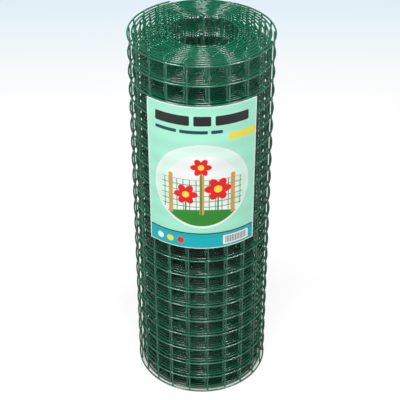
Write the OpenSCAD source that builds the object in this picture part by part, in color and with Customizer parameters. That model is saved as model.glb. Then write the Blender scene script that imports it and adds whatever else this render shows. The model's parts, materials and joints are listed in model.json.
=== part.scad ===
// A roll of plastic-coated welded wire mesh standing on its end, with a paper label wrapped round its front.
// Millimetres. The origin is the middle of the bottom end, +Z runs up the roll's axis and the label faces -Y.

/* [Mesh] */
// Spacing of the line wires up the roll, centre to centre
mesh_pitch = 25.4; // [12.7:0.1:50.8]
// Cells of mesh from the bottom line wire to the top one
cells_high = 20; // [10:1:40]
// Diameter of a wire with its plastic coat
wire_d = 2.1; // [1.2:0.1:3]
// How far the line wires are pressed into the cross wires where they are welded
weld_sink = 0.3; // [0.1:0.05:0.6]
// How far the cut ends of the cross wires stand past the two end line wires
stub_len = 1; // [0.3:0.1:3]

/* [Roll] */
// Diameter over the line wires of the outermost turn
roll_od = 180; // [150:1:300]
// Diameter of the open bore inside the innermost turn
bore_d = 76; // [40:1:100]
// Turns of mesh from the bore to the outside, if they fit
turns = 12; // [4:1:13]
// How deep the gaps between the turns go at each end
gap_depth = 5; // [4:0.5:12]

/* [Label] */
// Width of the label, measured round the roll
label_w = 142; // [80:1:200]
// Height of the label
label_h = 206; // [100:1:220]
// Thickness of the label's paper
label_t = 0.3; // [0.2:0.05:0.6]
// Distance from the top of the roll down to the label
label_drop = 53.5; // [10:0.5:60]
// Clearance between the label and the outermost line wires
label_gap = 0.2; // [0.05:0.05:0.3]

/* [Hidden] */
$fn = 96;
// Sides of a line wire's section, few because the roll has many line wires
wire_sides = 12;
wire_r = wire_d / 2;
// Height of the bottom line wire's centre, with the cut ends of the cross wires on the ground
first_line_z = stub_len + wire_r;
roll_h = cells_high * mesh_pitch + 2 * first_line_z;
// A turn is a cross wire with a line wire welded to its outside
turn_t = 2 * wire_d - weld_sink;
// Least clearance between one turn and the next
turn_gap = 0.1;
wound_t = roll_od / 2 - bore_d / 2;
turn_count = min(turns, floor(wound_t / (turn_t + turn_gap)));
turn_step = (wound_t - turn_t) / (turn_count - 1);
wound_r = roll_od / 2 - turn_t + wire_d;
label_r = roll_od / 2 + label_gap;
label_angle = label_w / (label_r + label_t / 2) * 180 / PI;

// Height of a line wire's centre, counting from 0 at the bottom
function line_z(k) = first_line_z + k * mesh_pitch;

// Inner radius of a turn, counting from 0 at the bore
function turn_r(i) = bore_d / 2 + i * turn_step;

// One line wire, cut across
module line_wire_section(turn, k) {
    translate([turn_r(turn) + turn_t - wire_r, line_z(k)])
        circle(d = wire_d, $fn = wire_sides);
}

// One turn, cut across: its cross wires' full height, and its line wires at the two ends of the roll
module turn_section(turn) {
    translate([turn_r(turn), 0])
        square([wire_d, roll_h]);
    line_wire_section(turn, 0);
    line_wire_section(turn, cells_high);
}

// The wound mesh between the two ends, where its turns close up into one body
module wound_section() {
    translate([bore_d / 2, gap_depth])
        square([wound_r - bore_d / 2, roll_h - 2 * gap_depth]);
}

// The welded mesh: a turned body with an open bore, its turns standing out at both ends
// and the outermost turn's line wires standing out all the way up
module mesh_roll() {
    color([0.02, 0.36, 0.22])
        rotate_extrude() {
            wound_section();
            for (turn = [0:turn_count - 1])
                turn_section(turn);
            for (k = [1:cells_high - 1])
                line_wire_section(turn_count - 1, k);
        }
}

// The printed sheet, curved round the front of the roll and resting on the outermost line wires
module label() {
    color([0.66, 0.93, 0.82])
        rotate([0, 0, -90 - label_angle / 2])
            rotate_extrude(angle = label_angle)
                translate([label_r, roll_h - label_drop - label_h])
                    square([label_t, label_h]);
}

mesh_roll();
label();
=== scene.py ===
# A roll of green plastic-coated welded mesh standing on its end, with a printed label round its front.
# Metres, in the frame of the CAD model: the roll's axis is +Z, it stands on z = 0, and the label faces -Y.
import json
import math
import random

import bpy
import numpy as np
from mathutils import Matrix, Vector


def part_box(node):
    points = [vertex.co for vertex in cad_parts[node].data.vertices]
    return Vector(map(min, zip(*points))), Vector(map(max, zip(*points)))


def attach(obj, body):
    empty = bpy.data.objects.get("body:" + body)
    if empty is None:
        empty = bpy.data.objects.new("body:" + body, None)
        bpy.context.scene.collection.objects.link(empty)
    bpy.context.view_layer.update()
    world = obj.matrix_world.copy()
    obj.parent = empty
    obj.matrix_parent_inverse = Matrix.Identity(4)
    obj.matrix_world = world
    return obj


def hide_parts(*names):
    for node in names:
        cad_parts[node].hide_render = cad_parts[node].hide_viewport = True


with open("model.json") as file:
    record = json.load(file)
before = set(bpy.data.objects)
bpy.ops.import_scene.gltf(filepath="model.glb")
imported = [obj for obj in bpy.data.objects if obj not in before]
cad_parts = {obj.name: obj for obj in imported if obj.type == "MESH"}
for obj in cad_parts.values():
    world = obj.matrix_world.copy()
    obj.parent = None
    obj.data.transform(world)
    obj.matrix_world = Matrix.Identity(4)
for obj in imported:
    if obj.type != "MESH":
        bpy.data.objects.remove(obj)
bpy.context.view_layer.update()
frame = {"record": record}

MM = 0.001

# The roll, as the CAD model has it
ROLL_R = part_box("mesh_roll")[1].x
ROLL_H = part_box("mesh_roll")[1].z
BORE = next(mount for mount in frame["record"]["mounts"] if mount["name"] == "bore")
BORE_R = BORE["dims"]["r_mm"] * MM

# The mesh, as it leaves the welding machine
CELL = 25.4 * MM
WIRE_R = 1.05 * MM
WELD_SINK = 0.3 * MM
STUB = 1.0 * MM
LINE_OUT = 2 * WIRE_R - WELD_SINK
FIRST_LINE_Z = STUB + WIRE_R
LINE_COUNT = round((ROLL_H - 2 * FIRST_LINE_Z) / CELL) + 1

# The gaps from turn to turn, middle to middle, from the bore outwards: loose ones that close up
# from one to the next, then tight ones, then slack ones. The outermost gap takes up what is left.
BORE_GAP = 4.8 * MM
LOOSE_GAPS = 3
CLOSES_UP = 0.2 * MM
TIGHT_GAP = 4.03 * MM
TIGHT_GAPS = 4
SLACK_GAP = 4.25 * MM
SLACK_GAPS = 3
# In turns from the front, the part of each turn in which it climbs, and the winding's two ends
CLIMB_FROM = 0.45
CLIMB_TO = 0.84
INNER_END = -0.10
OUTER_END = 11.44
FRONT_WIRE_DEG = 5.2
CROSS_INNER_R = BORE_R + WIRE_R
CROSS_OUTER_R = ROLL_R - WIRE_R - LINE_OUT
STEPS_PER_CELL = 3
WIRE_SIDES = 8
# How far a cross wire may lean, in radians, and how its cut ends are rounded
CROSS_LEAN = 0.0012
CUT_END_ROUND = 0.45 * WIRE_R

# A bead of coat at a weld: its radius, and its depth and height as shares of its width
BEAD_R = 1.8 * MM
BEAD_DEEP = 0.75
BEAD_HIGH = 0.9
BEAD_TILES_ACROSS = 55

# The label
LABEL_W = 142 * MM
LABEL_H = 206 * MM
LABEL_T = 0.3 * MM
LABEL_R = -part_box("label")[0].y
LABEL_MID_Z = (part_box("label")[0].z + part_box("label")[1].z) / 2
# How far the paper sinks between two line wires, where its sides begin to lift, as a share of its width
# from the middle, and by how much they lift
LABEL_SLACK = 0.3 * MM
LABEL_LIFT_FROM = 0.44
LABEL_LIFT = 0.7 * MM
# Left edge and width of its two faces in the bake map
BAKE_FRONT = (0.005, 0.71)
BAKE_BACK = (0.73, 0.265)

# The picture: 400 pixels square, with the roll's axis a little right of its middle
PICTURE = 400
FOCAL_PX = 1134.17
AXIS_RIGHT_PX = 1.85
CAMERA_AT = Vector((0, -1.2142, 1.1291))
CAMERA_DOWN_DEG = 35.494

# The floor: its colour in the lamps' light, to the eye and for the light it throws back at the roll,
# how much it glows of itself to the eye, and the tint of that glow far behind the roll
FLOOR_SEEN = (0.25, 0.25, 0.25, 1)
FLOOR_BOUNCE = (0.03, 0.03, 0.03, 1)
FLOOR_GLOW = 0.8
FLOOR_FAR = (0.787, 0.916, 1, 1)
# From where to where behind the roll that tint comes in, and how far inside the roll's edge
# the glow is gone, which leaves the floor under the roll dark as painted shade
FAR_FROM = 0.72
FAR_TO = 1.12
UNDER_ROLL_SHADE_EDGE = 12 * MM

# The light that the studio's walls give, how bright they look low down and above,
# and between which heights they dim
WORLD_LIGHT = 0.005
WORLD_LOW = 0.3
WORLD_ABOVE = 0.06
WORLD_DIMS_FROM = 0.14
WORLD_DIMS_TO = 0.3

# Height at which the lamps are aimed
LAMP_AIM = Vector((0, 0, 0.6 * ROLL_H))


# Helpers

def deselect_all():
    bpy.ops.object.select_all(action="DESELECT")


def smooth(t):
    """0 before t = 0, 1 after t = 1, and an easy climb between them."""
    t = np.clip(t, 0, 1)
    return t * t * (3 - 2 * t)


def mesh_piece(name, points, faces, corner_uv, *materials):
    """A smooth-shaded object at the origin, with a bake map that gives every face corner its own place."""
    mesh = bpy.data.meshes.new(name)
    mesh.from_pydata(points, [], faces)
    bake_map = mesh.uv_layers.new(name="OFBake")
    bake_map.uv.foreach_set("vector", np.asarray(corner_uv, np.float32).ravel())
    for material in materials:
        mesh.materials.append(material)
    mesh.shade_smooth()
    mesh.update()
    piece = bpy.data.objects.new(name, mesh)
    bpy.context.scene.collection.objects.link(piece)
    return piece


def joined_copies(name, pattern, places, tiles_across, material):
    """One piece with a copy of the pattern at each place. Each copy has its own tile of the bake map."""
    mesh = pattern.data
    points = np.array([v.co for v in mesh.vertices])
    places = np.array([[list(row) for row in place] for place in places])
    moved = np.einsum("pij,vj->pvi", places[:, :3, :3], points) + places[:, None, :3, 3]
    faces = []
    for copy in range(len(places)):
        first = copy * len(points)
        faces += [[first + i for i in face.vertices] for face in mesh.polygons]
    tile_uv = np.zeros(len(mesh.loops) * 2)
    mesh.uv_layers.active.uv.foreach_get("vector", tile_uv)
    tile_uv = 0.02 + 0.96 * tile_uv.reshape(-1, 2)
    tiles_up = math.ceil(len(places) / tiles_across)
    corners = np.arange(len(places))
    corner = np.stack([corners % tiles_across, corners // tiles_across], axis=1)
    corner_uv = (corner[:, None, :] + tile_uv[None]) / (tiles_across, tiles_up)
    bpy.data.objects.remove(pattern)
    return mesh_piece(name, moved.reshape(-1, 3), faces, corner_uv, material)


# The winding of the mesh

GAPS = [BORE_GAP - CLOSES_UP * k for k in range(LOOSE_GAPS)]
GAPS += [TIGHT_GAP] * TIGHT_GAPS + [SLACK_GAP] * SLACK_GAPS
GAPS.append(CROSS_OUTER_R - CROSS_INNER_R - sum(GAPS))


def cross_wire_r(turn):
    """Distance from the roll's axis to the middle of a cross wire, after that many turns from the front."""
    r = CROSS_INNER_R + 0 * turn
    for k, gap in enumerate(GAPS):
        r = r + gap * smooth((turn - k - CLIMB_FROM) / (CLIMB_TO - CLIMB_FROM))
    return r


def on_winding(turn, out):
    """The point there on the winding, out from the middle of the cross wires. It winds to the left."""
    angle = 2 * math.pi * turn
    r = cross_wire_r(turn) + out
    return np.stack([-r * np.sin(angle), -r * np.cos(angle)], axis=-1)


def turns_at_cells():
    """Places on the winding, a part of a cell apart, and which of them have a cross wire."""
    fine = np.linspace(INNER_END, OUTER_END, 20001)
    steps = np.linalg.norm(np.diff(on_winding(fine, LINE_OUT), axis=0), axis=1)
    run = np.concatenate([[0], np.cumsum(steps)])
    front_wire = np.interp(len(GAPS) - FRONT_WIRE_DEG / 360, fine, run)
    step = CELL / STEPS_PER_CELL
    first = -math.floor(front_wire / step)
    last = math.floor((run[-1] - front_wire) / step)
    count = np.arange(first, last + 1)
    turns = np.interp(front_wire + count * step, run, fine)
    return turns, count % STEPS_PER_CELL == 0


line_turns, has_cross_wire = turns_at_cells()
cross_turns = line_turns[has_cross_wire]
line_zs = FIRST_LINE_Z + CELL * np.arange(LINE_COUNT)


# Finishes

class Finish:
    """A material and its node tree, with short ways to add and join nodes."""

    def __init__(self, name):
        self.material = bpy.data.materials.new(name)
        self.material.use_nodes = True
        self.tree = self.material.node_tree
        self.shader = self.tree.nodes["Principled BSDF"]

    def node(self, kind, **settings):
        made = self.tree.nodes.new(kind)
        for key, value in settings.items():
            setattr(made, key, value)
        return made

    def join(self, output, socket):
        self.tree.links.new(output, socket)

    def math(self, operation, a, b=0.0):
        made = self.node("ShaderNodeMath", operation=operation)
        self.feed(made.inputs[0], a)
        self.feed(made.inputs[1], b)
        return made.outputs[0]

    def vector(self, operation, a, b=(0, 0, 0)):
        made = self.node("ShaderNodeVectorMath", operation=operation)
        self.feed(made.inputs[0], a)
        self.feed(made.inputs[1], b)
        return made.outputs["Value" if operation == "LENGTH" else "Vector"]

    def feed(self, socket, value):
        if isinstance(value, bpy.types.NodeSocket):
            self.join(value, socket)
        else:
            socket.default_value = value

    def noise(self, coordinates, scale, detail):
        made = self.node("ShaderNodeTexNoise")
        made.inputs["Scale"].default_value = scale
        made.inputs["Detail"].default_value = detail
        self.join(coordinates, made.inputs["Vector"])
        return made.outputs["Fac"]

    def spread(self, value, low, high, to_low, to_high):
        made = self.node("ShaderNodeMapRange")
        self.feed(made.inputs["Value"], value)
        for socket, number in zip(list(made.inputs)[1:5], (low, high, to_low, to_high)):
            socket.default_value = number
        return made.outputs["Result"]

    def mix(self, share, under, over):
        made = self.node("ShaderNodeMix", data_type="RGBA")
        self.feed(made.inputs["Factor"], share)
        self.feed(made.inputs[6], under)
        self.feed(made.inputs[7], over)
        return made.outputs[2]

    def bump(self, height, strength, distance):
        made = self.node("ShaderNodeBump")
        made.inputs["Strength"].default_value = strength
        made.inputs["Distance"].default_value = distance
        self.join(height, made.inputs["Height"])
        self.join(made.outputs["Normal"], self.shader.inputs["Normal"])


def green_coat():
    """Glossy dark green plastic, a little uneven in tone and with the orange-peel skin of a dipped coat."""
    finish = Finish("green_coat")
    place = finish.node("ShaderNodeTexCoord").outputs["Object"]
    tone = finish.spread(finish.noise(place, 70, 3), 0.3, 0.7, 0, 1)
    deep = (0.0005, 0.095, 0.045, 1)
    light = (0.002, 0.155, 0.073, 1)
    finish.join(finish.mix(tone, deep, light), finish.shader.inputs["Base Color"])
    skin = finish.noise(place, 900, 2)
    finish.join(finish.spread(skin, 0.3, 0.7, 0.1, 0.2), finish.shader.inputs["Roughness"])
    finish.shader.inputs["Specular IOR Level"].default_value = 0.9
    finish.bump(skin, 0.25, 0.1 * MM)
    return finish.material


# Wires

def winding_tube(turns, z):
    """Points of a line wire's round skin along the winding, with its two ends drawn in."""
    middle = on_winding(turns, LINE_OUT)
    along = np.gradient(middle, axis=0)
    along /= np.linalg.norm(along, axis=1)[:, None]
    side = np.stack([along[:, 1], -along[:, 0]], axis=1)
    tube_r = np.full(len(turns), WIRE_R)
    tube_r[[0, -1]] *= 0.5
    angles = 2 * math.pi * np.arange(WIRE_SIDES) / WIRE_SIDES
    skin = np.zeros((len(turns), WIRE_SIDES, 3))
    skin[:, :, :2] = middle[:, None] + (tube_r[:, None] * np.cos(angles))[:, :, None] * side[:, None]
    skin[:, :, 2] = z + tube_r[:, None] * np.sin(angles)
    return skin


def line_wires(material):
    """All the line wires, each wound from the bore to the outside of the roll."""
    end = WIRE_R / 2 / (2 * math.pi)
    turns = np.concatenate([[line_turns[0] - end / CROSS_INNER_R], line_turns,
                            [line_turns[-1] + end / CROSS_OUTER_R]])
    rings = len(turns)
    tiles = math.ceil(math.sqrt(rings * LINE_COUNT))
    points, faces, corner_uv = [], [], []
    for wire, z in enumerate(line_zs):
        points.append(winding_tube(turns, z).reshape(-1, 3))
        first = wire * rings * WIRE_SIDES
        for ring in range(rings - 1):
            tile = wire * rings + ring
            left, low = tile % tiles, tile // tiles
            for s in range(WIRE_SIDES):
                a = first + ring * WIRE_SIDES + s
                b = first + ring * WIRE_SIDES + (s + 1) % WIRE_SIDES
                faces.append([a, b, b + WIRE_SIDES, a + WIRE_SIDES])
                v0 = low + 0.04 + 0.92 * s / WIRE_SIDES
                v1 = low + 0.04 + 0.92 * (s + 1) / WIRE_SIDES
                corner_uv += [(left, v0), (left, v1), (left + 1, v1), (left + 1, v0)]
        for ring, order in ((0, -1), (rings - 1, 1)):
            tile = wire * rings + ring
            start = first + ring * WIRE_SIDES
            faces.append([start + s for s in range(WIRE_SIDES)][::order])
            corner_uv += [(tile % tiles, tile // tiles + 0.5)] * WIRE_SIDES
    corner_uv = np.array(corner_uv) / tiles
    return mesh_piece("line_wires", np.concatenate(points), faces, corner_uv, material)


def cross_wire_pattern():
    """One cross wire, standing on its cut end at the origin, with both ends rounded."""
    deselect_all()
    bpy.ops.mesh.primitive_cylinder_add(vertices=WIRE_SIDES, radius=WIRE_R, depth=ROLL_H,
                                        location=(0, 0, ROLL_H / 2))
    wire = bpy.context.object
    bpy.ops.object.transform_apply(location=True)
    bpy.ops.object.mode_set(mode="EDIT")
    bpy.ops.mesh.select_all(action="DESELECT")
    bpy.ops.object.mode_set(mode="OBJECT")
    for face in wire.data.polygons:
        face.select = abs(face.normal.z) > 0.9
    bpy.ops.object.mode_set(mode="EDIT")
    bpy.ops.mesh.bevel(offset=CUT_END_ROUND, segments=2, affect="EDGES")
    bpy.ops.object.mode_set(mode="OBJECT")
    strip = wire.data.uv_layers.active
    for face in wire.data.polygons:
        middle = math.atan2(face.center.y, face.center.x) % (2 * math.pi)
        for loop in face.loop_indices:
            at = wire.data.vertices[wire.data.loops[loop].vertex_index].co
            turn = (math.atan2(at.y, at.x) - middle + math.pi) % (2 * math.pi) - math.pi
            strip.uv[loop].vector = (at.z / ROLL_H, (middle + turn) / (2 * math.pi))
    return wire


def weld_bead_pattern():
    """The lump of coat round one weld, flat towards the roll's axis."""
    deselect_all()
    bpy.ops.mesh.primitive_uv_sphere_add(segments=8, ring_count=4, radius=BEAD_R, location=(0, 0, 0))
    bead = bpy.context.object
    bpy.ops.object.mode_set(mode="EDIT")
    bpy.ops.transform.resize(value=(1, BEAD_DEEP, BEAD_HIGH))
    bpy.ops.object.mode_set(mode="OBJECT")
    return bead


def turned_to(turn, out, z):
    """Where a pattern that faces the front goes on the winding."""
    x, y = on_winding(turn, out)
    return Matrix.Translation((x, y, z)) @ Matrix.Rotation(-2 * math.pi * turn, 4, "Z")


def cross_wires(material):
    """The cross wires, one at each cell along the winding, each leaning a hair its own way."""
    chance = random.Random(4)
    places = []
    for turn in cross_turns:
        lean = Matrix.Rotation(chance.uniform(-CROSS_LEAN, CROSS_LEAN), 4, "Y")
        places.append(turned_to(turn, 0, 0) @ lean)
    return joined_copies("cross_wires", cross_wire_pattern(), places, 1, material)


def weld_beads(material):
    """A bead of coat at every weld."""
    places = [turned_to(turn, LINE_OUT / 2, z) for turn in cross_turns for z in line_zs]
    return joined_copies("weld_beads", weld_bead_pattern(), places, BEAD_TILES_ACROSS, material)


# Label

class Print(Finish):
    """Flat printed shapes laid over each other on the label, in millimetres from its lower left corner."""

    EDGE = 0.25

    def __init__(self, name, ground):
        super().__init__(name)
        uv = self.node("ShaderNodeUVMap", uv_map="print").outputs["UV"]
        self.at = self.vector("MULTIPLY", uv, (LABEL_W / MM, LABEL_H / MM, 0))
        self.ink = ground

    def within(self, distance, limit):
        return self.spread(distance, limit - self.EDGE, limit + self.EDGE, 1, 0)

    def box(self, left, right, low, high, corner=0.5):
        """The part inside a rectangle with round corners."""
        middle = ((left + right) / 2, (low + high) / 2, 0)
        half = ((right - left) / 2 - corner, (high - low) / 2 - corner, 0)
        apart = self.vector("ABSOLUTE", self.vector("SUBTRACT", self.at, middle))
        beyond = self.vector("MAXIMUM", self.vector("SUBTRACT", apart, half), (0, 0, 0))
        return self.within(self.vector("LENGTH", beyond), corner)

    def disc(self, x, y, r):
        """The part inside a circle."""
        return self.within(self.vector("LENGTH", self.vector("SUBTRACT", self.at, (x, y, 0))), r)

    def flower(self, x, y, r, petals):
        """The part inside a round flower with that many petals."""
        apart = self.vector("SUBTRACT", self.at, (x, y, 0))
        parts = self.node("ShaderNodeSeparateXYZ")
        self.join(apart, parts.inputs[0])
        angle = self.math("ARCTAN2", parts.outputs["Y"], parts.outputs["X"])
        wave = self.math("ABSOLUTE", self.math("COSINE", self.math("MULTIPLY", angle, petals / 2)))
        edge = self.math("MULTIPLY_ADD", wave, 0.38 * r)
        edge.node.inputs[2].default_value = 0.62 * r
        gap = self.math("SUBTRACT", self.vector("LENGTH", apart), edge)
        return self.within(gap, 0.0)

    def lines(self, axis, spacing, width):
        """Parallel lines across one axis."""
        parts = self.node("ShaderNodeSeparateXYZ")
        self.join(self.at, parts.inputs[0])
        off = self.math("PINGPONG", parts.outputs[axis], spacing / 2)
        return self.within(off, width / 2)

    def both(self, a, b):
        return self.math("MULTIPLY", a, b)

    def either(self, a, b):
        return self.math("MAXIMUM", a, b)

    def lay(self, part, colour):
        self.ink = self.mix(part, self.ink, (*colour, 1))


# Printing colours
MINT = (0.40, 0.87, 0.66)
PALE_MINT = (0.72, 0.95, 0.83)
WHITE = (0.90, 0.93, 0.90)
TURQUOISE = (0.01, 0.45, 0.50)
DARK_TEAL = (0.002, 0.06, 0.08)
BLACK = (0.008, 0.010, 0.010)
RED = (0.80, 0.016, 0.022)
YELLOW = (0.90, 0.74, 0.06)
TAN = (0.62, 0.36, 0.10)
GREEN = (0.03, 0.24, 0.03)


def printed_face():
    """Coated paper with a garden design: bars, flowers at a mesh fence in a circle, and a foot band."""
    design = Print("label_print", (*MINT, 1))
    w, h = LABEL_W / MM, LABEL_H / MM
    picture = design.disc(71, 93, 58)
    design.lay(design.disc(71, 93, 61), WHITE)
    design.lay(picture, PALE_MINT)
    design.lay(design.both(picture, design.disc(71, 93, 46)), WHITE)
    design.lay(design.both(picture, design.disc(71, -110, 170)), GREEN)
    mesh = design.either(design.lines("X", 8, 1.0), design.lines("Y", 8, 1.0))
    fence = design.both(picture, design.box(20, 122, 58, 104))
    design.lay(design.both(mesh, fence), GREEN)
    for post in (32, 71, 110):
        design.lay(design.box(post - 2.8, post + 2.8, 52, 111, 2), TAN)
    for x, y, r in ((51, 82, 15), (91, 90, 17), (70, 122, 13)):
        design.lay(design.box(x - 1, x + 1, 48, y), GREEN)
        design.lay(design.flower(x, y, r, 6), RED)
        design.lay(design.disc(x, y, 0.3 * r), YELLOW)
    for left, right in ((12, 56), (61, 82), (87, 130)):
        design.lay(design.box(left, right, 180, 193, 2), BLACK)
    for left, right in ((12, 40), (44, 78), (82, 96)):
        design.lay(design.box(left, right, 169, 173.5, 1), DARK_TEAL)
    design.lay(design.box(104, w, 158, 167), YELLOW)
    design.lay(design.box(0, w, 0, 22), TURQUOISE)
    design.lay(design.box(0, w, 22, 24), DARK_TEAL)
    design.lay(design.box(98, 134, 4, 18, 1), WHITE)
    design.lay(design.both(design.box(101, 131, 6, 16), design.lines("X", 2.3, 1.1)), BLACK)
    for left, colour in ((12, WHITE), (26, YELLOW), (40, RED)):
        design.lay(design.disc(left + 4, 11, 4.5), colour)
    margin = design.box(1.2, w - 1.2, 1.2, h - 1.2)
    design.ink = design.mix(margin, (*WHITE, 1), design.ink)
    fibre = design.noise(design.at, 0.9, 4)
    shade = design.spread(fibre, 0.3, 0.7, 0.95, 1.0)
    tone = design.vector("SCALE", design.ink)
    design.join(shade, tone.node.inputs["Scale"])
    design.join(tone, design.shader.inputs["Base Color"])
    design.join(design.spread(fibre, 0.3, 0.7, 0.5, 0.6), design.shader.inputs["Roughness"])
    design.shader.inputs["Specular IOR Level"].default_value = 0.3
    design.bump(fibre, 0.15, 0.1 * MM)
    return design.material


def paper_back():
    """The bare back and cut edge of the label's paper."""
    finish = Finish("label_back")
    place = finish.node("ShaderNodeTexCoord").outputs["Object"]
    fibre = finish.noise(place, 600, 4)
    bright = (0.82, 0.84, 0.80, 1)
    grey = (0.70, 0.72, 0.69, 1)
    finish.join(finish.mix(fibre, grey, bright), finish.shader.inputs["Base Color"])
    finish.shader.inputs["Roughness"].default_value = 0.8
    finish.bump(fibre, 0.2, 0.1 * MM)
    return finish.material


def label(front, back):
    """The sheet, curved round the outermost line wires, slack between them and lifting at its sides."""
    deselect_all()
    bpy.ops.mesh.primitive_grid_add(x_subdivisions=72, y_subdivisions=104, size=1, location=(0, 0, 0))
    sheet = bpy.context.object
    sheet.name = "printed_label"
    sheet.data.uv_layers.active.name = "print"
    for vertex in sheet.data.vertices:
        across, up = vertex.co.x, vertex.co.y
        z = LABEL_MID_Z + up * LABEL_H
        between_lines = math.sin(math.pi * (z - FIRST_LINE_Z) / CELL) ** 2
        at_side = max(0, abs(across) - LABEL_LIFT_FROM) / (0.5 - LABEL_LIFT_FROM)
        r = LABEL_R - LABEL_SLACK * between_lines * (1 - at_side) + LABEL_LIFT * at_side ** 2
        angle = across * LABEL_W / (LABEL_R - LABEL_T / 2)
        vertex.co = (r * math.sin(angle), -r * math.cos(angle), z)
    sheet.data.materials.append(front)
    sheet.data.materials.append(back)
    thicken = sheet.modifiers.new("paper", "SOLIDIFY")
    thicken.thickness = LABEL_T
    thicken.offset = -1
    thicken.material_offset = 1
    thicken.material_offset_rim = 1
    bpy.ops.object.modifier_apply(modifier="paper")
    bpy.ops.object.shade_smooth_by_angle(angle=math.radians(40))
    sheet.data.uv_layers.new(name="OFBake")
    printed, bake_map = sheet.data.uv_layers["print"], sheet.data.uv_layers["OFBake"]
    for face in sheet.data.polygons:
        left, wide = BAKE_FRONT if face.material_index == 0 else BAKE_BACK
        for loop in face.loop_indices:
            u, v = printed.uv[loop].vector
            bake_map.uv[loop].vector = (left + wide * u, 0.005 + 0.99 * v)
    return sheet


def seat(piece, node):
    """The piece stands for a node of the CAD model, on its one body."""
    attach(piece, "root")
    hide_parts(node)


coat = green_coat()
for wires in (line_wires(coat), cross_wires(coat), weld_beads(coat)):
    seat(wires, "mesh_roll")

label_sheet = label(printed_face(), paper_back())
seat(label_sheet, "label")


# Floor, light and camera

def seen_as_backdrop(tree):
    """1 for rays from the camera and mirrored or clear views, and 0 for light that falls on the roll."""
    path = tree.nodes.new("ShaderNodeLightPath")
    seen = path.outputs["Is Camera Ray"]
    for name in ("Is Glossy Ray", "Is Transmission Ray"):
        more = tree.nodes.new("ShaderNodeMath")
        more.operation = "MAXIMUM"
        tree.links.new(seen, more.inputs[0])
        tree.links.new(path.outputs[name], more.inputs[1])
        seen = more.outputs[0]
    return seen


def floor_finish():
    """White floor, pale blue far behind. It glows, so shadows on it are faint, except under the roll, where
    the glow is left out as painted shade.
    """
    finish = Finish("floor_white")
    seen = seen_as_backdrop(finish.tree)
    finish.shader.inputs["Roughness"].default_value = 0.9
    finish.shader.inputs["Specular IOR Level"].default_value = 0.0
    finish.join(finish.mix(seen, FLOOR_BOUNCE, FLOOR_SEEN), finish.shader.inputs["Base Color"])
    place = finish.node("ShaderNodeTexCoord").outputs["Object"]
    parts = finish.node("ShaderNodeSeparateXYZ")
    finish.join(place, parts.inputs[0])
    far = finish.spread(parts.outputs["Y"], FAR_FROM, FAR_TO, 0, 1)
    finish.join(finish.mix(far, (1, 1, 1, 1), FLOOR_FAR), finish.shader.inputs["Emission Color"])
    # Painted shade: the glow fades out just inside the roll's edge, so the floor under the roll stays dark
    glow_with_painted_shade = finish.spread(finish.vector("LENGTH", place), ROLL_R - UNDER_ROLL_SHADE_EDGE, ROLL_R, 0, FLOOR_GLOW)
    finish.join(finish.math("MULTIPLY", seen, glow_with_painted_shade), finish.shader.inputs["Emission Strength"])
    return finish.material


def floor():
    deselect_all()
    bpy.ops.mesh.primitive_plane_add(size=12, location=(0, 0, 0))
    ground = bpy.context.object
    ground.name = "floor"
    ground.data.materials.append(floor_finish())


def studio_world():
    """White walls round the studio, seen and mirrored, but giving little light to the roll."""
    world = bpy.data.worlds.new("studio")
    bpy.context.scene.world = world
    world.use_nodes = True
    tree = world.node_tree
    way = tree.nodes.new("ShaderNodeTexCoord")
    parts = tree.nodes.new("ShaderNodeSeparateXYZ")
    wall = tree.nodes.new("ShaderNodeMapRange")
    levels = (WORLD_DIMS_FROM, WORLD_DIMS_TO, WORLD_LOW, WORLD_ABOVE)
    for socket, number in zip(list(wall.inputs)[1:5], levels):
        socket.default_value = number
    tree.links.new(way.outputs["Generated"], parts.inputs[0])
    tree.links.new(parts.outputs["Z"], wall.inputs["Value"])
    level = tree.nodes.new("ShaderNodeMix")
    tree.links.new(seen_as_backdrop(tree), level.inputs["Factor"])
    level.inputs[2].default_value = WORLD_LIGHT
    tree.links.new(wall.outputs["Result"], level.inputs[3])
    tree.links.new(level.outputs[0], tree.nodes["Background"].inputs["Strength"])
    tree.nodes["Background"].inputs["Color"].default_value = (1, 1, 1, 1)


def softbox(name, place, width, height, level):
    """A soft lamp aimed at the roll. level is how bright it makes white paper that faces it there."""
    way = place - LAMP_AIM
    deselect_all()
    bpy.ops.object.light_add(type="AREA", location=place)
    lamp = bpy.context.object
    lamp.name = name
    lamp.rotation_euler = way.to_track_quat("Z", "Y").to_euler()
    lamp.data.shape = "RECTANGLE"
    lamp.data.size = width
    lamp.data.size_y = height
    lamp.data.energy = level * math.pi ** 2 * way.length_squared


def round_the_roll(side_deg, up_deg, distance):
    """A place that far from where the lamps are aimed. side_deg is from the front towards +X."""
    side, up = math.radians(side_deg), math.radians(up_deg)
    way = Vector((math.sin(side) * math.cos(up), -math.cos(side) * math.cos(up), math.sin(up)))
    return LAMP_AIM + way * distance


def camera():
    deselect_all()
    bpy.ops.object.camera_add(location=CAMERA_AT, rotation=(math.radians(90 - CAMERA_DOWN_DEG), 0, 0))
    view = bpy.context.object
    view.data.sensor_width = 36
    view.data.lens = FOCAL_PX * view.data.sensor_width / PICTURE
    view.data.shift_x = -AXIS_RIGHT_PX / PICTURE
    bpy.context.scene.camera = view


floor()
studio_world()
softbox("high_front", round_the_roll(2, 68, 1.7), 0.4, 0.25, 0.66)
softbox("high_left", round_the_roll(-62, 62, 1.7), 0.4, 0.25, 0.54)
softbox("high_right", round_the_roll(74, 62, 1.7), 0.35, 0.25, 0.4)
softbox("low_left", round_the_roll(-44, 1, 4), 2.0, 0.2, 0.52)
softbox("low_right", round_the_roll(52, 1, 4), 2.0, 0.2, 0.42)
camera()
bpy.context.scene.view_settings.view_transform = "Standard"
